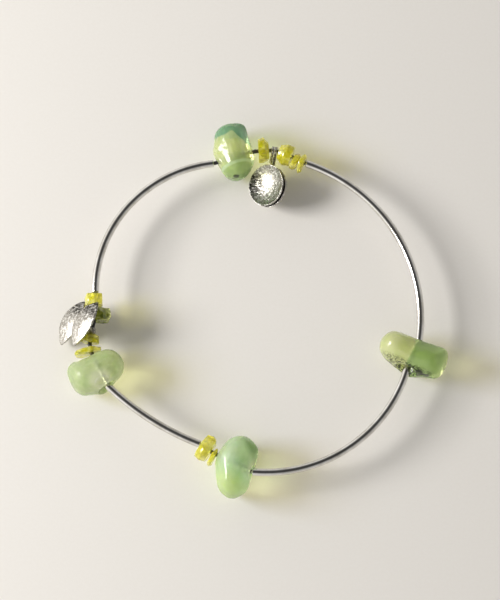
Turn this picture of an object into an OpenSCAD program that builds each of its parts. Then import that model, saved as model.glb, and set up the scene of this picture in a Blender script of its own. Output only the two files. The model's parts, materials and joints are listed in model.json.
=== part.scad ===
// Slip-on bangle bracelet: four curved silver tubes, four drilled stones, ten small drilled
// chips and two pairs of cupped silver discs, all strung on one elastic cord.
// It lies flat on a table, +Z up. Every place is given in the plan of the bracelet.

/* [Cord and holes] */
// Diameter of the elastic cord
cord_d = 0.8; // [0.6:0.05:0.85]
// Diameter of the hole drilled through every stone, chip and bail
drill_d = 0.94; // [0.9:0.01:1.0]
// Height of the cord above the table
cord_h = 5.3; // [5.2:0.05:5.4]

/* [Tubes] */
// Outer diameter of the silver tubes
tube_od = 1.5; // [1.3:0.05:1.6]
// Inner diameter of the silver tubes
tube_id = 1.0; // [0.95:0.01:1.1]
// Bend radius of the tube on the right
bend_right = 33.9; // [32:0.1:40]
// Bend radius of the tube at the lower right
bend_lower_right = 29.4; // [27:0.1:34]
// Bend radius of the tube at the lower left
bend_lower_left = 56; // [50:0.1:70]
// Bend radius of the tube on the left
bend_left = 26.5; // [25:0.1:32]

/* [Disc charms] */
// Diameter of the two discs at the top
disc_top_d = 8.5; // [8:0.1:8.8]
// Length of the two narrow discs at the left
disc_left_l = 10.0; // [9.6:0.1:10.2]
// Width of the two narrow discs at the left
disc_left_w = 5.2; // [4.8:0.1:5.4]
// Thickness of a disc
disc_t = 0.4; // [0.3:0.05:0.5]
// Depth of a disc's cup
cup_depth = 1.1; // [0.8:0.1:1.4]
// Length of a bail's ring along the cord
bail_w = 0.5; // [0.4:0.05:0.5]

/* [Gaps] */
// Gap between a tube's mouth and the stone beside it
mouth_gap = 0.3; // [0.25:0.05:0.4]
// Gap between neighbours on the cord
bead_gap = 0.12; // [0.1:0.01:0.15]

/* [Hidden] */
$fn = 48;
// Facets of the turned and swept solids, and of the long arcs that shape the discs
turned_facets = 96;
arc_facets = 360;

silver = [0.78, 0.79, 0.8];
cord_grey = [0.16, 0.16, 0.17];
stone_green = [0.66, 0.78, 0.5];
chip_yellow = [0.78, 0.78, 0.14];

// The origin is on the table under the middle of the bracelet's outline.
origin_xy = [-0.85, 1.8];

// The cord's corners, clockwise, in the four stretches between the tubes. One piece or one pair
// of bails sits on each straight length, and the first and last corners are tube mouths.
run_right = [[32.3, -5.3], [30.1, -10.0]];
run_bottom = [[-1.0, -31.8], [-7.9, -28.4], [-8.9, -27.87], [-11.2, -26.3]];
run_left = [
    [-29.8, -14.3], [-32.8, -8.1], [-33.35, -6.1], [-33.1, -3.9], [-32.6, -1.4], [-32.4, 1.7], [-32.4, 4.7]
];
run_top = [
    [-8.8, 31.9], [-0.3, 34.5], [2.95, 34.7], [4.2, 34.48], [7.4, 33.2], [8.7, 32.5], [10.0, 31.9]
];

// Each tube's two mouths, clockwise
mouths_right = [run_top[6], run_right[0]];
mouths_lower_right = [run_right[1], run_bottom[0]];
mouths_lower_left = [run_bottom[3], run_left[0]];
mouths_left = [run_left[6], run_top[0]];

// Lobes of each stone: [along the cord, outwards, up, radius], from the middle of its length
lobes_right = [
    [0.5, -4.0, -0.4, 3.1], [0.6, 3.4, -0.4, 3.1], [-1.4, 4.9, -0.4, 2.0], [1.4, 4.9, -0.7, 2.0], [1.6, 0.6, -1.2, 3.0]
];
lobes_bottom = [
    [0.2, -2.5, -0.5, 3.4], [-1.3, 3.3, -0.5, 3.3], [0.9, -0.1, -0.6, 3.2], [-1.2, 0.4, -0.6, 3.1], [-1.2, -3.0, -0.4, 2.3]
];
lobes_left = [
    [-0.4, 2.8, -0.5, 3.7], [1.3, 3.8, -0.3, 2.5], [0.0, -1.6, -0.5, 3.5], [-1.8, 1.2, -0.7, 2.9]
];
lobes_top = [
    [0.3, 3.9, -0.5, 3.4], [2.2, 5.1, -0.2, 1.8], [0.0, -1.1, -0.6, 3.5], [1.9, -0.9, -0.5, 2.1], [-1.3, 1.8, -0.3, 2.7]
];
// How much taller than wide each stone's lobes are
rise_right = 1.5;
rise_bottom = 1.44;
rise_left = 1.32;
rise_top = 1.36;

// The dish round each hole takes the tube's mouth and lets the stone turn past its neighbours.
dish_r = 1.35;
dish_depth = 3.6;
dish_flare = 0.6;
knot_r = 0.8;
knot_gap = 0.15;
knot_room = 2.2;
lobe_facets = 24;

// Discs: how far each disc's middle hangs from the cord, and how thick and wide its neck is
reach_top_front = 7.2;
reach_top_back = 7.4;
neck_w = 0.5;
neck_t = 0.5;
bail_r = 0.9;
bail_hold = 0.2;
solder = 0.3;
// How far along its length of cord the first bail of a pair sits
first_bail = 0.32;
// The charms' hanging lines, turned up from straight outwards
lift_top = 194;
lift_left = -42;
// How far the top pair is turned about its hanging lines, and how far each rim lies off the line
turn_top = 35;
step_top_front = -0.8;
step_top_back = -0.25;
// Where the middle of each left disc's inner side is, [along the hanging line, above it], and how
// far the pair is turned in its own planes
side_left_front = [-2.4, 2.75];
side_left_back = [2.55, 1.8];
turn_left = -25;

function minus(a, b) = [a.x - b.x, a.y - b.y];
function span(a, b) = norm(minus(b, a));
function heading(a, b) = atan2(b.y - a.y, b.x - a.x);
function middle(a, b) = (a + b) / 2;
// Centre of the circle of radius r through a and b that lies on the right of the way from a to b
function bend_centre(a, b, r) =
    middle(a, b) + sqrt(r * r - pow(span(a, b) / 2, 2)) * [sin(heading(a, b)), -cos(heading(a, b))];

// How far the way turns at corner i of a run
function kink(points, i) = abs(heading(points[i], points[i + 1]) - heading(points[i - 1], points[i]));
// Room a flat end of radius r leaves at corner i, so that it turns past its neighbour's
function room(points, i, r) = bead_gap / 2 + r * tan(kink(points, i) / 2);

// Puts its children on the cord at point a, with +X towards point b, and the origin in its place
module on_cord(a, b) {
    translate([a.x - origin_xy.x, a.y - origin_xy.y, cord_h])
        rotate([0, 0, heading(a, b)])
            children();
}

// A cylinder along +X from x = from to x = to
module rod(from, to, radius) {
    translate([from, 0, 0])
        rotate([0, 90, 0])
            cylinder(h = to - from, r = radius);
}

// A sphere whose poles are on the cord's line
module ball(radius) {
    rotate([0, 90, 0])
        sphere(r = radius);
}

// Sweeps its flat child round the bend between two mouths, short of each by the angle trim
module along_bend(mouths, bend, trim = 0) {
    centre = bend_centre(mouths[0], mouths[1], bend);
    first = heading(centre, mouths[1]);
    sweep = 2 * asin(span(mouths[0], mouths[1]) / 2 / bend);
    translate([centre.x - origin_xy.x, centre.y - origin_xy.y, cord_h])
        rotate([0, 0, first + trim])
            rotate_extrude(angle = sweep - 2 * trim, $fn = turned_facets)
                translate([bend, 0])
                    children();
}

module tube(mouths, bend) {
    color(silver)
        along_bend(mouths, bend)
            difference() {
                circle(d = tube_od);
                circle(d = tube_id);
            }
}

// The cord inside a tube stops a little short of both mouths, where the tube rocks on it.
module cord_in_tube(mouths, bend) {
    inset = 0.15;
    color(cord_grey)
        along_bend(mouths, bend, trim = inset / bend * 180 / PI)
            circle(d = cord_d);
}

// The cord between two tubes: straight lengths, joined at each corner by a slightly thicker ball
module cord_run(points) {
    last = len(points) - 2;
    swell = 0.05;
    short = 0.1;
    color(cord_grey)
        union() {
            for (i = [0 : last])
                on_cord(points[i], points[i + 1])
                    rod(i == 0 ? 0 : short, span(points[i], points[i + 1]) - (i == last ? 0 : short), cord_d / 2);
            for (i = [1 : 1 : last])
                on_cord(points[i], points[i + 1])
                    ball(cord_d / 2 + swell);
        }
}

// A tumbled stone on the first length of a run, resting on the table and drilled along the cord.
// Its first dish faces a tube's mouth, and so does its last unless a chip follows, when face is the
// radius of the flat it turns against.
module nugget(points, lobes, rise, face = 0, pocket = false) {
    length = span(points[0], points[1]);
    wide = 20;
    color(stone_green)
        on_cord(points[0], points[1])
            difference() {
                intersection() {
                    translate([length / 2, 0, 0])
                        hull()
                            for (p = lobes)
                                translate([p[0], p[1], p[2]])
                                    scale([1, 1, rise])
                                        sphere(r = p[3], $fn = lobe_facets);
                    translate([-wide / 2, -wide / 2, -cord_h])
                        cube([length + wide, wide, wide]);
                }
                rod(-wide, length + wide, drill_d / 2);
                dish(mouth_gap, -1, dish_r);
                if (face == 0)
                    dish(length - mouth_gap, 1, dish_r);
                else
                    dish(length - room(points, 1, face), 1, face);
                if (pocket)
                    rod(length / 2 - knot_room / 2, length / 2 + knot_room / 2, knot_r + knot_gap);
            }
}

// A flared dish with a floor of radius r at x, opening towards -X or +X
module dish(x, side, r) {
    translate([x, 0, 0])
        rotate([0, side * 90, 0])
            cylinder(h = dish_depth, r1 = r, r2 = r + dish_depth * dish_flare);
}

module knot(a, b) {
    color(cord_grey)
        on_cord(a, b)
            difference() {
                translate([span(a, b) / 2, 0, 0])
                    ball(knot_r);
                rod(0, span(a, b), cord_d / 2);
            }
}

// One of a chip's three rings of corners, with its own small irregularity
function chip_ring(sides, radius, seed) =
    let (r = rands(0.84, 1.08, sides, seed), turn = rands(-14, 14, sides, seed + 50))
        [for (i = [0 : sides - 1]) radius * r[i] * [cos(i * 360 / sides + turn[i]), sin(i * 360 / sides + turn[i])]];

// A rough chip on length i of a run. radii are those of its first end, middle and last end, off
// moves the stone sideways [outwards, up] from its hole, and tall stretches it upwards.
module chip(points, i, radii, off, tall, seed) {
    sides = 7;
    skin = 0.02;
    from = room(points, i, radii[0] + abs(off[0]));
    last_room = i + 2 < len(points) ? room(points, i + 1, radii[2] + abs(off[0])) : mouth_gap;
    to = span(points[i], points[i + 1]) - last_room;
    color(chip_yellow)
        on_cord(points[i], points[i + 1])
            difference() {
                hull()
                    for (k = [0 : 2])
                        translate([from + (to - from - skin) * k / 2, off[0], off[1]])
                            rotate([90, 0, 90])
                                linear_extrude(skin)
                                    scale([1, tall])
                                        polygon(chip_ring(sides, radii[k], seed + k));
                rod(from - 1, to + 1, drill_d / 2);
            }
}

// Hangs its children from the cord, bail number place, on the length from a to b. The child's +X is
// the hanging line, turned up by lift from straight outwards, and its -Y runs along the cord.
module hang(a, b, place, lift) {
    on_cord(a, b)
        translate([first_bail + place * (bail_w + bead_gap), 0, 0])
            rotate([lift, 0, 0])
                rotate([0, 0, 90])
                    children();
}

module hang_top(place) {
    hang(run_top[2], run_top[3], place, lift_top)
        children();
}

module hang_left(place) {
    hang(run_left[3], run_left[4], place, lift_left)
        children();
}

// Radius of the dome of a cup that is d across its rim
function dome(d) = (pow(d / 2, 2) + pow(cup_depth, 2)) / (2 * cup_depth);

// A round cup, d across, hollow towards -Z, with the middle of its rim's upper edge at the origin
module cup(d) {
    rotate_extrude($fn = turned_facets)
        intersection() {
            translate([0, cup_depth - dome(d)])
                difference() {
                    circle(r = dome(d), $fn = arc_facets);
                    circle(r = dome(d) - disc_t, $fn = arc_facets);
                }
            translate([0, -2 * disc_t])
                square([d / 2, cup_depth + 2 * disc_t]);
        }
}

// A cupped disc, its rim step above the hanging line and turned about it
module disc(d, reach, step, turn) {
    color(silver)
        translate([reach, 0, step])
            rotate([turn, 0, 0])
                cup(d);
}

// A cupped disc that two arcs narrow to width w, with the middle of one side at side
module narrow_disc(l, w, side, turn) {
    arc = (l * l + w * w) / (4 * w);
    side_height = sqrt(pow(dome(l), 2) - w * w / 4) - dome(l) + cup_depth - disc_t / 2;
    color(silver)
        translate([side[0], 0, side[1]])
            rotate([0, 0, turn])
                translate([w / 2, 0, -side_height])
                    intersection() {
                        cup(l);
                        translate([0, 0, -2 * disc_t])
                            linear_extrude(cup_depth + 2 * disc_t)
                                intersection() {
                                    translate([arc - w / 2, 0])
                                        circle(r = arc, $fn = arc_facets);
                                    translate([w / 2 - arc, 0])
                                        circle(r = arc, $fn = arc_facets);
                                }
                    }
}

// A bail: a ring round the cord, and a neck from the ring's wall towards its child, soldered there
module bail(toward) {
    wall = (bail_r + drill_d / 2) / 2;
    color(silver)
        difference() {
            union() {
                rotate([90, 0, 0])
                    cylinder(h = bail_w, r = bail_r, center = true);
                hull() {
                    translate(wall * [cos(toward), 0, sin(toward)])
                        cube([bail_hold, neck_w, neck_t], center = true);
                    children();
                }
            }
            rotate([90, 0, 0])
                cylinder(h = 3 * bail_w, d = drill_d, center = true);
        }
}

// A bail for a disc
module disc_bail(d, reach, step, turn) {
    bail(toward = 0)
        translate([reach, 0, step])
            rotate([turn, 0, 0])
                translate([solder / 2 - d / 2, 0, 0])
                    cube([solder, neck_w, disc_t], center = true);
}

// A bail for a narrow disc
module narrow_disc_bail(side, turn) {
    bail(toward = atan2(side[1], side[0]))
        translate([side[0], 0, side[1]])
            rotate([0, 0, turn])
                translate([solder / 2, 0, 0])
                    cube([solder, neck_w, disc_t], center = true);
}

tube(mouths_right, bend_right);  // tube_right
tube(mouths_lower_right, bend_lower_right);  // tube_lower_right
tube(mouths_lower_left, bend_lower_left);  // tube_lower_left
tube(mouths_left, bend_left);  // tube_left
cord_run(run_right);  // cord_right
cord_run(run_bottom);  // cord_bottom
cord_run(run_left);  // cord_left
cord_run(run_top);  // cord_top
cord_in_tube(mouths_right, bend_right);  // cord_in_tube_right
cord_in_tube(mouths_lower_right, bend_lower_right);  // cord_in_tube_lower_right
cord_in_tube(mouths_lower_left, bend_lower_left);  // cord_in_tube_lower_left
cord_in_tube(mouths_left, bend_left);  // cord_in_tube_left
knot(run_bottom[0], run_bottom[1]);  // cord_knot

nugget(run_right, lobes_right, rise_right);  // nugget_right
nugget(run_bottom, lobes_bottom, rise_bottom, face = 3.1, pocket = true);  // nugget_bottom
nugget(run_left, lobes_left, rise_left, face = 3.7);  // nugget_left
nugget(run_top, lobes_top, rise_top, face = 1.4);  // nugget_top

chip(run_bottom, 1, [1.6, 2.0, 1.7], [0.9, -0.2], 1.0, 11);  // chip_bottom_1
chip(run_bottom, 2, [2.2, 2.7, 2.5], [0.1, 0], 1.0, 21);  // chip_bottom_2
chip(run_left, 1, [2.6, 3.0, 2.1], [0.9, -0.3], 0.8, 31);  // chip_left_1
chip(run_left, 2, [1.6, 1.9, 1.5], [0, -0.2], 1.0, 41);  // chip_left_2
chip(run_left, 4, [1.9, 2.5, 2.0], [-0.9, -0.4], 0.8, 51);  // chip_left_3
chip(run_left, 5, [1.7, 2.0, 1.7], [0.4, 0], 1.0, 61);  // chip_left_4
chip(run_top, 1, [2.4, 2.7, 1.6], [0.1, 0], 0.9, 71);  // chip_top_1
chip(run_top, 3, [1.5, 2.4, 2.2], [0, 0], 0.95, 81);  // chip_top_2
chip(run_top, 4, [1.6, 1.9, 1.5], [-0.7, -0.2], 1.0, 91);  // chip_top_3
chip(run_top, 5, [1.8, 2.2, 1.6], [-0.4, 0], 1.0, 101);  // chip_top_4

hang_top(0) disc(disc_top_d, reach_top_front, step_top_front, turn_top);  // disc_top_front
hang_top(1) disc(disc_top_d, reach_top_back, step_top_back, turn_top);  // disc_top_back
hang_left(0) narrow_disc(disc_left_l, disc_left_w, side_left_front, turn_left);  // disc_left_front
hang_left(1) narrow_disc(disc_left_l, disc_left_w, side_left_back, turn_left);  // disc_left_back
hang_top(0) disc_bail(disc_top_d, reach_top_front, step_top_front, turn_top);  // bail_top_front
hang_top(1) disc_bail(disc_top_d, reach_top_back, step_top_back, turn_top);  // bail_top_back
hang_left(0) narrow_disc_bail(side_left_front, turn_left);  // bail_left_front
hang_left(1) narrow_disc_bail(side_left_back, turn_left);  // bail_left_back
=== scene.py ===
"""The looks of a slip-on bangle: silver tubes, tumbled stones, glassy chips and cupped discs on a cord.

Sizes in this file are millimetres where a name ends in _mm or stands under MM, and metres elsewhere.
"""

import json
import math

import bmesh
import bpy
import numpy as np
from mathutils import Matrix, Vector, noise

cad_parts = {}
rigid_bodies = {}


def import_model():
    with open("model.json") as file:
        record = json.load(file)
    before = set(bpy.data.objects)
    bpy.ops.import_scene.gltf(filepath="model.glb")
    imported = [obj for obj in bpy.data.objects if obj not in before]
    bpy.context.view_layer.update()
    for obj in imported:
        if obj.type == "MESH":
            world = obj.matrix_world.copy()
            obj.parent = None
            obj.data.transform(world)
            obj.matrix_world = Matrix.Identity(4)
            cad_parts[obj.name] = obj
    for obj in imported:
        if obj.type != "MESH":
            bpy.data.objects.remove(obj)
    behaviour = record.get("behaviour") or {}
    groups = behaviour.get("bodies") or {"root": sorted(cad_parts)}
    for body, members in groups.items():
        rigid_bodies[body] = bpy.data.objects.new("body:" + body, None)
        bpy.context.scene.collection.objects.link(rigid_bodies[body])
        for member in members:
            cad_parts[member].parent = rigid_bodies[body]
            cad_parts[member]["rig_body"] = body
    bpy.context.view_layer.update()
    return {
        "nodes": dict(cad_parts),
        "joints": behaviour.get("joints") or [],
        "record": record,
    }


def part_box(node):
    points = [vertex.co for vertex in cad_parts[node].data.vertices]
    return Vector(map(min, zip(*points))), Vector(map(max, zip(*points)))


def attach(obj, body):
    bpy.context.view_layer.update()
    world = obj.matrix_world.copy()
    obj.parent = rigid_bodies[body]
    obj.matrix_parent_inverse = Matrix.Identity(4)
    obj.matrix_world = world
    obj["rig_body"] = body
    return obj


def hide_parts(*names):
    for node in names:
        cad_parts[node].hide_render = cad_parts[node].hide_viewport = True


MM = 0.001
TUBE_OUTER = 0.75 * MM
TUBE_INNER = 0.5 * MM
TUBE_LIP = 0.12 * MM
HOLE_RADIUS = 0.47 * MM
CORD_HEIGHT = 5.3 * MM
CAMERA_ELEVATION = 75
CAMERA_DISTANCE = 450 * MM
CAMERA_LENS = 135
# The camera looks this far above the bracelet's middle, across its view.
CAMERA_RISE = 3.02 * MM

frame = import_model()
joints = {j["name"]: j for j in frame["joints"]}
slots = {s["node"]: s["material_slot"] for s in frame["record"]["subparts"]}


# ---- meshes ----------------------------------------------------------------------------------


def body_of(node):
    """The CAD body that a node belongs to."""
    return frame["nodes"][node]["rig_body"]


def stand_for(piece, node, material):
    """Gives a piece its material and lets it take its CAD node's place."""
    piece.data.materials.clear()
    piece.data.materials.append(material)
    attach(piece, body_of(node))
    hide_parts(node)
    return piece


def new_object(name, mesh):
    made = bpy.data.objects.new(name, mesh)
    bpy.context.scene.collection.objects.link(made)
    return made


def copy_of(node):
    """A new object with the CAD node's mesh, its doubled corners merged."""
    bm = bmesh.new()
    bm.from_mesh(frame["nodes"][node].data)
    bmesh.ops.remove_doubles(bm, verts=bm.verts, dist=0.001 * MM)
    mesh = bpy.data.meshes.new(node + "_skin")
    bm.to_mesh(mesh)
    bm.free()
    return new_object(node + "_skin", mesh)


def settle(piece):
    """Applies a piece's modifiers to its mesh."""
    graph = bpy.context.evaluated_depsgraph_get()
    mesh = bpy.data.meshes.new_from_object(piece.evaluated_get(graph))
    piece.modifiers.clear()
    piece.data = mesh
    return piece


def soften(piece, voxel, rounds):
    """Rebuilds a piece in even small faces and rounds its edges off."""
    remesh = piece.modifiers.new("remesh", "REMESH")
    remesh.mode = "VOXEL"
    remesh.voxel_size = voxel
    smooth = piece.modifiers.new("smooth", "SMOOTH")
    smooth.factor = 0.5
    smooth.iterations = rounds
    settle(piece)
    piece.data.shade_smooth()
    return piece


def points_of(piece):
    points = np.empty(len(piece.data.vertices) * 3)
    piece.data.vertices.foreach_get("co", points)
    return points.reshape(-1, 3)


def normals_of(piece):
    normals = np.empty(len(piece.data.vertices) * 3)
    piece.data.vertices.foreach_get("normal", normals)
    return normals.reshape(-1, 3)


def move_points(piece, points):
    piece.data.vertices.foreach_set("co", points.ravel())
    piece.data.update()


def ripple(piece, size, depth, seed, cells=False, inwards=0.0):
    """Moves a piece's surface in and out by depth, in bumps or cells about size across.

    The whole surface also moves inwards by that share of the depth.
    """
    points = points_of(piece)
    shift = Vector((seed * 7.3, seed * 3.1, seed * 5.7))
    heights = np.empty(len(points))
    for i, p in enumerate(points):
        at = Vector(p) / size + shift
        if cells:
            heights[i] = noise.voronoi(at)[0][0] - 0.5
        else:
            heights[i] = noise.fractal(at, 1.0, 2.0, 3)
    move_points(piece, points + normals_of(piece) * ((heights - inwards) * depth)[:, None])


def from_line(points, joint):
    """How far along a joint's line each point is, and its way out from that line."""
    offsets = points - np.array(joint["pos_m"])
    lengths = offsets @ np.array(joint["axis"])
    return lengths, offsets - np.outer(lengths, joint["axis"])


def turning_profile(piece, joint, steps=16):
    """Even places along a joint's line, and how far from it a piece reaches near each of them."""
    lengths, ways = from_line(points_of(piece), joint)
    radii = np.linalg.norm(ways, axis=1)
    places = np.linspace(lengths.min(), lengths.max(), steps)
    near = 0.6 * (places[1] - places[0])
    return places, [radii[abs(lengths - place) < near].max() for place in places]


def fill_out(piece, joint, factor, profile, spare):
    """Widens a piece about its joint's line, but stays a spare gap inside a turning profile."""
    places, reach = profile
    lengths, ways = from_line(points_of(piece), joint)
    lengths = np.clip(lengths, places[0] + spare, places[-1] - spare)
    radii = np.linalg.norm(ways, axis=1)
    ways *= np.minimum(factor, (np.interp(lengths, places, reach) - spare) / radii)[:, None]
    move_points(piece, np.array(joint["pos_m"]) + np.outer(lengths, joint["axis"]) + ways)


def clear_hole(piece, joint):
    """Pushes a piece's points out of the hole that the cord runs through."""
    lengths, ways = from_line(points_of(piece), joint)
    radii = np.linalg.norm(ways, axis=1)
    ways *= np.maximum(1, HOLE_RADIUS / radii)[:, None]
    move_points(piece, np.array(joint["pos_m"]) + np.outer(lengths, joint["axis"]) + ways)


def keep_inside(piece, node):
    """Pulls a piece's points back into its CAD node's box."""
    low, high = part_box(node)
    move_points(piece, np.clip(points_of(piece), np.array(low), np.array(high)))


def mark_places(piece, joint):
    """Stores each point's place from the stone's middle, in mm: along its hole, outwards, and up."""
    origin = Vector(joints[joint]["pos_m"])
    along = Vector(joints[joint]["axis"])
    outwards = Vector((0, 0, 1)).cross(along)
    axes = np.array([along, outwards, (0, 0, 1)])
    places = (points_of(piece) - np.array(origin)) @ axes.T / MM
    places[:, 0] -= (places[:, 0].min() + places[:, 0].max()) / 2
    attribute = piece.data.attributes.new("place", "FLOAT_VECTOR", "POINT")
    attribute.data.foreach_set("vector", places.ravel())


def ring_mesh(name, rings):
    """A closed mesh through rings of points, the last ring joined to the first."""
    count, sides = len(rings), len(rings[0])
    points = [p for ring in rings for p in ring]
    faces = []
    for i in range(count):
        for k in range(sides):
            after, beside = (i + 1) % count, (k + 1) % sides
            faces.append((i * sides + k, after * sides + k, after * sides + beside, i * sides + beside))
    mesh = bpy.data.meshes.new(name)
    mesh.from_pydata(points, [], faces)
    mesh.update()
    mesh.shade_smooth()
    return mesh


def arc_of(node):
    """The centre, bend radius, height, middle angle and first and last turns of a CAD tube's arc."""
    points = np.array([v.co for v in frame["nodes"][node].data.vertices])
    low, high = points[:, 2].min(), points[:, 2].max()
    # The tube's highest points lie straight above its middle line.
    near_top = 0.005 * MM
    crest = points[points[:, 2] > high - near_top, :2] / MM
    across = np.c_[2 * crest, np.ones(len(crest))]
    centre = np.linalg.lstsq(across, (crest**2).sum(1), rcond=None)[0][:2] * MM
    offsets = points[:, :2] - centre
    radii = np.hypot(offsets[:, 0], offsets[:, 1])
    middle = math.atan2(*offsets.mean(0)[::-1])
    turns = np.arctan2(offsets[:, 1], offsets[:, 0]) - middle
    turns = (turns + math.pi) % (2 * math.pi) - math.pi
    return centre, (radii.min() + radii.max()) / 2, (low + high) / 2, middle, turns.min(), turns.max()


def tube_piece(node):
    """A curved tube with rounded lips, along its CAD node's arc."""
    centre, bend, height, middle, first, last = arc_of(node)
    steps, sides, lip_steps = 160, 48, 6
    ends = TUBE_LIP / bend
    wall = TUBE_OUTER - TUBE_INNER
    turns = np.clip(np.linspace(first, last, steps + 1), first + ends, last - ends)
    sweep = np.linspace(0, math.pi, lip_steps + 1)[1:-1]
    lips = [(TUBE_LIP * math.sin(a), TUBE_OUTER - wall * (1 - math.cos(a)) / 2) for a in sweep]
    loop = [(turn, 0, TUBE_OUTER) for turn in turns]
    loop += [(last - ends, push, radius) for push, radius in lips]
    loop += [(turn, 0, TUBE_INNER) for turn in turns[::-1]]
    loop += [(first + ends, -push, radius) for push, radius in reversed(lips)]

    rings = []
    spots = [2 * math.pi * k / sides for k in range(sides)]
    for turn, push, radius in loop:
        angle = middle + turn + push / bend
        out = Vector((math.cos(angle), math.sin(angle), 0))
        hub = Vector((*centre, height)) + out * bend
        ways = [out * math.cos(s) + Vector((0, 0, math.sin(s))) for s in spots]
        rings.append([hub + way * radius for way in ways])
    return new_object(node + "_skin", ring_mesh(node + "_skin", rings))


# ---- materials -------------------------------------------------------------------------------


def colour(red, green, blue):
    """A colour given as the eye sees it, 0 to 255, for a shader."""
    parts = [c / 255 for c in (red, green, blue)]
    return [c / 12.92 if c < 0.04045 else ((c + 0.055) / 1.055) ** 2.4 for c in parts] + [1]


class Surface:
    """One material's nodes, with a short call for each kind of node."""

    def __init__(self, name, **settings):
        self.material = bpy.data.materials.new(name)
        self.material.use_nodes = True
        self.tree = self.material.node_tree
        self.shader = self.tree.nodes["Principled BSDF"]
        for socket, value in settings.items():
            self.shader.inputs[socket.replace("_", " ")].default_value = value

    def node(self, kind, **settings):
        made = self.tree.nodes.new("ShaderNode" + kind)
        for name, value in settings.items():
            setattr(made, name, value)
        return made

    def feed(self, socket, value):
        """Links value to a socket, or sets the socket to it."""
        if isinstance(value, bpy.types.NodeSocket):
            self.tree.links.new(value, socket)
        else:
            socket.default_value = value

    def set(self, name, value):
        self.feed(self.shader.inputs[name], value)

    def spot(self):
        """Where a point is on the piece, in metres."""
        return self.node("TexCoord").outputs["Object"]

    def place(self):
        """A stone's own places, as mark_places stored them: along, outwards and up, in mm."""
        return self.node("Attribute", attribute_name="place").outputs["Vector"]

    def parts(self, vector):
        split = self.node("SeparateXYZ")
        self.feed(split.inputs[0], vector)
        return split.outputs[:3]

    def stretch(self, vector, scale, turn=(0, 0, 0)):
        mapping = self.node("Mapping")
        self.feed(mapping.inputs["Vector"], vector)
        mapping.inputs["Rotation"].default_value = [math.radians(a) for a in turn]
        mapping.inputs["Scale"].default_value = scale
        return mapping.outputs[0]

    def clouds(self, vector, size, detail=3, rough=0.5, warp=0):
        """Noise from 0 to 1, in patches about size across, in the vector's own unit."""
        texture = self.node("TexNoise")
        self.feed(texture.inputs["Vector"], vector)
        texture.inputs["Scale"].default_value = 1 / size
        texture.inputs["Detail"].default_value = detail
        texture.inputs["Roughness"].default_value = rough
        texture.inputs["Distortion"].default_value = warp
        return texture.outputs["Fac"]

    def cells(self, vector, size, feature="F1"):
        texture = self.node("TexVoronoi", feature=feature)
        self.feed(texture.inputs["Vector"], vector)
        texture.inputs["Scale"].default_value = 1 / size
        return texture.outputs["Distance"]

    def maths(self, operation, a, b=0.0):
        made = self.node("Math", operation=operation)
        self.feed(made.inputs[0], a)
        self.feed(made.inputs[1], b)
        return made.outputs[0]

    def fade(self, value, start, end, low=0.0, high=1.0):
        """Turns value from start to end into low to high, smoothly, and holds it there beyond."""
        made = self.node("MapRange", interpolation_type="SMOOTHSTEP")
        for name, given in (("Value", value), ("From Min", start), ("From Max", end)):
            self.feed(made.inputs[name], given)
        made.inputs["To Min"].default_value = low
        made.inputs["To Max"].default_value = high
        return made.outputs["Result"]

    def blend(self, share, a, b):
        """Colour a where share is 0, and b where it is 1."""
        made = self.node("Mix", data_type="RGBA")
        self.feed(made.inputs["Factor"], share)
        self.feed(made.inputs[6], a)
        self.feed(made.inputs[7], b)
        return made.outputs[2]

    def ball(self, middle, radius, soft, vector=None):
        """1 within radius of the middle, fading to 0 over soft, in a stone's own places or in vector."""
        away = self.node("VectorMath", operation="DISTANCE")
        self.feed(away.inputs[0], vector or self.place())
        away.inputs[1].default_value = middle
        return self.fade(away.outputs["Value"], radius, radius + soft, 1, 0)

    def bump(self, height, depth, strength=1.0, under=None):
        made = self.node("Bump")
        made.inputs["Strength"].default_value = strength
        made.inputs["Distance"].default_value = depth
        self.feed(made.inputs["Height"], height)
        if under is not None:
            self.feed(made.inputs["Normal"], under)
        return made.outputs[0]

    def let_light_by(self, tint):
        """Lets some lamp light through, so that the shadow takes the tint."""
        path = self.node("LightPath")
        clear = self.node("BsdfTransparent")
        clear.inputs[0].default_value = tint
        mix = self.node("MixShader")
        self.feed(mix.inputs[0], path.outputs["Is Shadow Ray"])
        self.feed(mix.inputs[1], self.shader.outputs[0])
        self.feed(mix.inputs[2], clear.outputs[0])
        self.feed(self.tree.nodes["Material Output"].inputs["Surface"], mix.outputs[0])


def stone(name, light, deep):
    """A tumbled, cloudy, see-through stone. Returns its surface and its colour so far."""
    surface = Surface(
        name,
        IOR=1.55,
        Transmission_Weight=0.65,
        Subsurface_Weight=1.0,
        Subsurface_Scale=2.4 * MM,
        Specular_IOR_Level=0.3,
    )
    surface.shader.inputs["Subsurface Radius"].default_value = (2.6, 2.8, 2.0)
    spot = surface.spot()
    clouds = surface.clouds(spot, 3.2 * MM, detail=4, warp=0.6)
    threads = surface.clouds(spot, 0.7 * MM, detail=5, rough=0.7)
    base = surface.blend(surface.fade(clouds, 0.35, 0.68), light, deep)
    paler = surface.fade(threads, 0.54, 0.74, 0, 0.3)
    base = surface.blend(paler, base, colour(236, 240, 214))
    surface.set("Roughness", surface.fade(threads, 0.3, 0.8, 0.14, 0.26))
    dimples = surface.bump(surface.clouds(spot, 1.6 * MM, detail=2), 0.06 * MM)
    surface.set("Normal", surface.bump(threads, 0.012 * MM, under=dimples))
    return surface, base


def finish_stone(surface, base, tint):
    surface.set("Base Color", base)
    surface.let_light_by(tint)
    return surface.material


def specks(surface, size, amount):
    """Small dark moss-like marks, 1 inside one, over the share of the surface that amount gives."""
    marks = surface.clouds(surface.spot(), size, detail=6, rough=0.75, warp=1.2)
    return surface.fade(marks, 1 - amount, 1 - amount + 0.06)


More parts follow.
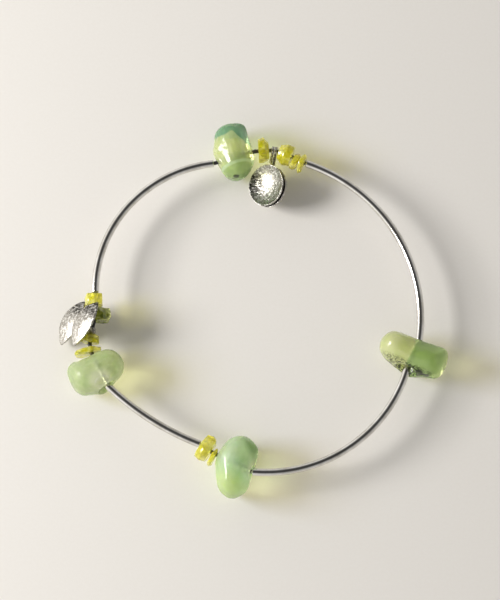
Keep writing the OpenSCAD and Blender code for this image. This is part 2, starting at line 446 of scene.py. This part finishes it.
def stone_top():
    surface, base = stone("stone_top", colour(212, 220, 168), colour(196, 208, 148))
    along, out = surface.parts(surface.place())[:2]
    wave = surface.clouds(surface.place(), 3.0, detail=2)
    slope = surface.maths("ADD", out, surface.maths("MULTIPLY", surface.fade(along, 0.6, 3.2), 3.4))
    cap = surface.fade(surface.maths("ADD", slope, surface.maths("MULTIPLY", wave, 3.0)), 5.6, 6.4)
    base = surface.blend(surface.maths("MULTIPLY", cap, 0.9), base, colour(104, 160, 128))
    lower = surface.fade(out, -0.6, -2.6, 0, 0.75)
    base = surface.blend(lower, base, colour(150, 184, 128))
    hole = surface.fade(surface.maths("ABSOLUTE", surface.maths("ADD", out, 2.1)), 0.1, 0.45, 0.6, 0)
    base = surface.blend(hole, base, colour(214, 238, 218))
    sliver = surface.ball((-1.0, -4.3, 0.9), 0.55, 0.15)
    base = surface.blend(sliver, base, colour(40, 52, 26))
    return finish_stone(surface, base, colour(214, 212, 178))


def stone_left():
    surface, base = stone("stone_left", colour(200, 212, 172), colour(182, 200, 150))
    out = surface.parts(surface.place())[1]
    milk = surface.ball((-2.2, 0.9, 3.0), 1.2, 2.0)
    base = surface.blend(surface.maths("MULTIPLY", milk, 0.9), base, colour(248, 252, 232))
    # Painted highlight: a broken bright ring round the hole's mouth, where a dimple would catch the lamp.
    round_mouth = (-3.4, 0.6, 3.0)
    wide, narrow = surface.ball(round_mouth, 1.7, 0.3), surface.ball(round_mouth, 1.4, 0.3)
    painted_highlight_ring = surface.maths("SUBTRACT", wide, narrow)
    highlight_ring_gaps = surface.fade(surface.clouds(surface.place(), 1.2, detail=2), 0.45, 0.6)
    base = surface.blend(surface.maths("MULTIPLY", painted_highlight_ring, highlight_ring_gaps), base, colour(255, 255, 248))
    edge = surface.fade(out, -2.4, -4.6, 0, 0.6)
    base = surface.blend(edge, base, colour(186, 200, 140))
    return finish_stone(surface, base, colour(214, 210, 172))


def stone_bottom():
    surface, base = stone("stone_bottom", colour(210, 232, 200), colour(190, 220, 178))
    out = surface.parts(surface.place())[1]
    dark = surface.ball((-1.8, -4.6, 2.4), 1.0, 2.0)
    base = surface.blend(surface.maths("MULTIPLY", dark, 0.9), base, colour(124, 160, 104))
    low = surface.fade(out, 1.2, 4.6, 0, 0.7)
    base = surface.blend(low, base, colour(206, 224, 146))
    near_hole = surface.ball((-4.4, -0.6, 1.8), 1.0, 1.6)
    base = surface.blend(surface.maths("MULTIPLY", near_hole, 0.9), base, colour(250, 254, 222))
    return finish_stone(surface, base, colour(208, 200, 174))


def stone_right():
    surface, base = stone("stone_right", colour(214, 220, 170), colour(204, 214, 156))
    along, out = surface.parts(surface.place())[:2]
    wave = surface.clouds(surface.place(), 2.5, detail=3)
    seam = surface.maths("ADD", out, surface.maths("MULTIPLY", wave, 1.2))
    base = surface.blend(surface.fade(seam, 0.1, 0.45), base, colour(166, 192, 126))
    # Painted glow: the outer rim, on the side away from the lamp, made lighter where lamp light shining
    # through the stone comes out.
    painted_glow_rim = surface.fade(out, 5.2, 6.8, 0, 0.75)
    base = surface.blend(painted_glow_rim, base, colour(222, 236, 178))
    band = surface.fade(along, 1.9, 2.9)
    moss = surface.maths("MULTIPLY", band, specks(surface, 0.9 * MM, 0.52))
    clump = surface.ball((3.2, 2.0, 0.9), 1.2, 0.9)
    patch = surface.maths("MULTIPLY", clump, specks(surface, 0.5 * MM, 0.58))
    base = surface.blend(surface.maths("MAXIMUM", moss, patch), base, colour(10, 14, 4))
    hairs = surface.maths("MULTIPLY", specks(surface, 2.2 * MM, 0.34), 0.5)
    base = surface.blend(hairs, base, colour(120, 130, 70))
    return finish_stone(surface, base, colour(206, 200, 168))


def chip_glass(name, light, deep):
    """Rough-cut yellow-green glassy stone, darker and lighter inside."""
    surface = Surface(
        name,
        IOR=1.6,
        Transmission_Weight=0.62,
        Subsurface_Weight=1.0,
        Subsurface_Scale=2 * MM,
        Coat_Weight=0.4,
        Coat_Roughness=0.06,
    )
    surface.shader.inputs["Subsurface Radius"].default_value = (1.4, 1.4, 0.5)
    spot = surface.spot()
    veins = surface.clouds(spot, 1.1 * MM, detail=4, rough=0.6, warp=0.8)
    base = surface.blend(surface.fade(veins, 0.36, 0.62), light, deep)
    grains = surface.cells(spot, 1.5 * MM)
    base = surface.blend(surface.fade(grains, 0.5, 0.8, 0, 0.5), base, colour(246, 244, 190))
    surface.set("Base Color", base)
    surface.set("Roughness", surface.fade(veins, 0.3, 0.7, 0.08, 0.22))
    facets = surface.bump(grains, 0.1 * MM)
    surface.set("Normal", surface.bump(veins, 0.03 * MM, under=facets))
    surface.let_light_by(colour(232, 230, 176))
    return surface.material


def polished_silver():
    """Drawn silver tube: polished, with faint lines, smears and a little tarnish."""
    surface = Surface("tube_silver", Metallic=1.0, IOR=1.5)
    spot = surface.spot()
    smears = surface.clouds(spot, 4 * MM, detail=4, rough=0.6)
    base = surface.blend(surface.fade(smears, 0.35, 0.75), colour(232, 230, 226), colour(196, 192, 184))
    surface.set("Base Color", base)
    surface.set("Roughness", surface.fade(smears, 0.3, 0.75, 0.09, 0.2))
    fine = surface.clouds(spot, 0.12 * MM, detail=3, rough=0.6)
    dents = surface.bump(surface.clouds(spot, 2.2 * MM, detail=2), 0.02 * MM)
    surface.set("Normal", surface.bump(fine, 0.002 * MM, under=dents))
    return surface.material


def worked_silver(name, dark_reflection_spot=None):
    """Silver struck all over, scratched both ways, darker in smeared patches, and with a painted dark
    reflection round the given spot.
    """
    surface = Surface(name, Metallic=1.0, IOR=1.5)
    spot = surface.spot()
    blows = surface.cells(spot, 0.9 * MM, feature="SMOOTH_F1")
    grain = surface.clouds(spot, 0.16 * MM, detail=4, rough=0.7)
    one_way = surface.clouds(surface.stretch(spot, (1, 5, 3), (20, 0, 35)), 1.3 * MM, detail=4, rough=0.7)
    other_way = surface.clouds(surface.stretch(spot, (6, 1, 4), (0, 25, -30)), 1.3 * MM, detail=4, rough=0.7)
    scratches = surface.maths("MULTIPLY", one_way, other_way)
    base = surface.blend(surface.fade(scratches, 0.2, 0.36), colour(150, 146, 138), colour(228, 226, 221))
    smears = surface.fade(surface.clouds(spot, 2.4 * MM, detail=4, rough=0.7), 0.58, 0.74, 0, 0.7)
    base = surface.blend(smears, base, colour(112, 106, 94))
    # Painted dark reflection: darkens the metal round the spot, broken up by the scratches, where it would
    # mirror a dark part of the room.
    if dark_reflection_spot:
        dark = surface.ball(dark_reflection_spot, 2.2 * MM, 2.4 * MM, spot)
        painted_dark_reflection = surface.maths("MULTIPLY", dark, surface.fade(one_way, 0.46, 0.58, 1, 0.1))
        base = surface.blend(painted_dark_reflection, base, colour(40, 38, 34))
    surface.set("Base Color", base)
    surface.set("Roughness", surface.fade(grain, 0.3, 0.75, 0.2, 0.42))
    struck = surface.bump(blows, 0.06 * MM)
    scored = surface.bump(scratches, 0.05 * MM, under=struck)
    surface.set("Normal", surface.bump(grain, 0.03 * MM, under=scored))
    return surface.material


def elastic():
    """Smooth dark elastic, its strands just showing."""
    surface = Surface("cord", IOR=1.5, Sheen_Weight=0.15)
    spot = surface.spot()
    strands = surface.clouds(surface.stretch(spot, (1, 1, 6)), 0.3 * MM, detail=3)
    surface.set("Base Color", surface.blend(strands, colour(30, 30, 31), colour(58, 57, 56)))
    surface.set("Roughness", surface.fade(strands, 0.3, 0.7, 0.3, 0.5))
    surface.set("Normal", surface.bump(strands, 0.03 * MM))
    return surface.material


def pale_floor():
    surface = Surface("floor", IOR=1.45)
    weave = surface.clouds(surface.spot(), 0.6 * MM, detail=4)
    surface.set("Base Color", surface.blend(weave, colour(226, 222, 216), colour(230, 227, 222)))
    surface.set("Roughness", surface.fade(weave, 0.3, 0.7, 0.55, 0.65))
    return surface.material


# ---- the object ------------------------------------------------------------------------------


def stones():
    makers = {"right": stone_right, "bottom": stone_bottom, "left": stone_left, "top": stone_top}
    for seed, (side, material) in enumerate(makers.items()):
        node = "nugget_" + side
        piece = soften(copy_of(node), voxel=0.14 * MM, rounds=14)
        ripple(piece, size=4.5 * MM, depth=0.22 * MM, seed=seed, inwards=0.35)
        keep_inside(piece, node)
        clear_hole(piece, joints[node + "_turn"])
        mark_places(piece, node + "_turn")
        stand_for(piece, node, material())


def chips():
    yellow = chip_glass("chip_yellow", colour(250, 240, 96), colour(204, 200, 26))
    olive = chip_glass("chip_olive", colour(168, 178, 66), colour(104, 118, 26))
    # These only just pass the discs and bails beside them.
    beside_discs = {"chip_top_1": 0.24 * MM, "chip_top_2": 0.12 * MM, "chip_left_4": 0.16 * MM}
    for seed, node in enumerate(sorted(n for n in slots if n.startswith("chip_"))):
        joint = joints[node + "_turn"]
        piece = soften(copy_of(node), voxel=0.07 * MM, rounds=3)
        profile = turning_profile(piece, joint)
        ripple(piece, size=1.3 * MM, depth=0.3 * MM, seed=seed, cells=True)
        fill_out(piece, joint, factor=1.15, profile=profile, spare=beside_discs.get(node, 0))
        keep_inside(piece, node)
        clear_hole(piece, joint)
        stand_for(piece, node, olive if slots[node] == "chip_olive" else yellow)


def place_in(node, share_x, share_y):
    """A place half way up a CAD node's box, at these shares of its width and depth."""
    low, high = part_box(node)
    shares = (share_x, share_y, 0.5)
    return [a + (b - a) * share for a, b, share in zip(low, high, shares)]


def metal():
    polished = polished_silver()
    worked = worked_silver("bail_silver")
    # Where each pair's painted dark reflection sits, as shares of a disc's width and depth.
    dark_reflection_side = {"top": (0, 0.6), "left": (1, 0.95)}
    for node in slots:
        if node.startswith("tube_"):
            stand_for(tube_piece(node), node, polished)
        elif node.startswith("disc_"):
            piece = soften(copy_of(node), voxel=0.08 * MM, rounds=4)
            ripple(piece, size=3.0 * MM, depth=0.05 * MM, seed=5)
            dark_reflection_spot = place_in(node, *dark_reflection_side[node.split("_")[1]])
            stand_for(piece, node, worked_silver(node + "_silver", dark_reflection_spot))
        elif node.startswith("bail_"):
            stand_for(soften(copy_of(node), voxel=0.05 * MM, rounds=3), node, worked)


def cords():
    material = elastic()
    for node in slots:
        if node.startswith("cord_"):
            stand_for(soften(copy_of(node), voxel=0.08 * MM, rounds=6), node, material)


# ---- floor, light and camera -----------------------------------------------------------------


def aim(thing, target):
    thing.rotation_mode = "QUATERNION"
    thing.rotation_quaternion = (Vector(target) - thing.location).to_track_quat("-Z", "Y")


def lamp(name, place, size, power, tone):
    light = bpy.data.lights.new(name, "AREA")
    light.shape = "RECTANGLE"
    light.size, light.size_y = size
    light.energy = power
    light.color = tone
    made = new_object(name, light)
    made.location = place
    aim(made, (0, 0, 0))


def studio():
    reach = 1.5
    corners = [(-reach, -reach, 0), (reach, -reach, 0), (reach, reach, 0), (-reach, reach, 0)]
    mesh = bpy.data.meshes.new("floor")
    mesh.from_pydata(corners, [], [(0, 1, 2, 3)])
    floor = new_object("floor", mesh)
    floor.data.materials.append(pale_floor())

    lamp("window", place=(-0.52, 0.02, 0.28), size=(0.26, 0.2), power=4.5, tone=(1, 0.985, 0.965))

    world = bpy.data.worlds.new("room")
    bpy.context.scene.world = world
    world.use_nodes = True
    tree = world.node_tree
    spot = tree.nodes.new("ShaderNodeTexCoord")
    split = tree.nodes.new("ShaderNodeSeparateXYZ")
    tree.links.new(spot.outputs["Generated"], split.inputs[0])
    heights = tree.nodes.new("ShaderNodeValToRGB")
    heights.color_ramp.elements[0].position = 0.5
    heights.color_ramp.elements[0].color = (1, 0.98, 0.95, 1)
    heights.color_ramp.elements[1].position = 0.9
    heights.color_ramp.elements[1].color = (0.1, 0.1, 0.1, 1)
    sides = tree.nodes.new("ShaderNodeMapRange")
    sides.inputs["From Min"].default_value = -0.75
    sides.inputs["From Max"].default_value = 0.1
    sides.inputs["To Min"].default_value = 1.2
    sides.inputs["To Max"].default_value = 0.54
    tree.links.new(split.outputs["Z"], heights.inputs[0])
    tree.links.new(split.outputs["X"], sides.inputs["Value"])
    tree.links.new(heights.outputs[0], tree.nodes["Background"].inputs[0])
    tree.links.new(sides.outputs[0], tree.nodes["Background"].inputs[1])


def camera():
    """Looks down at the bracelet from its front, which sits a little low in the frame."""
    elevation = math.radians(CAMERA_ELEVATION)
    back = Vector((0, -math.cos(elevation), math.sin(elevation)))
    upwards = Vector((0, math.sin(elevation), math.cos(elevation)))
    target = Vector((-0.55 * MM, -1.8 * MM, CORD_HEIGHT)) + upwards * CAMERA_RISE
    data = bpy.data.cameras.new("camera")
    data.lens = CAMERA_LENS
    data.clip_start = 0.01
    made = new_object("camera", data)
    made.location = target + back * CAMERA_DISTANCE
    aim(made, target)
    bpy.context.scene.camera = made


stones()
chips()
metal()
cords()
studio()
camera()
bpy.context.scene.view_settings.view_transform = "Standard"
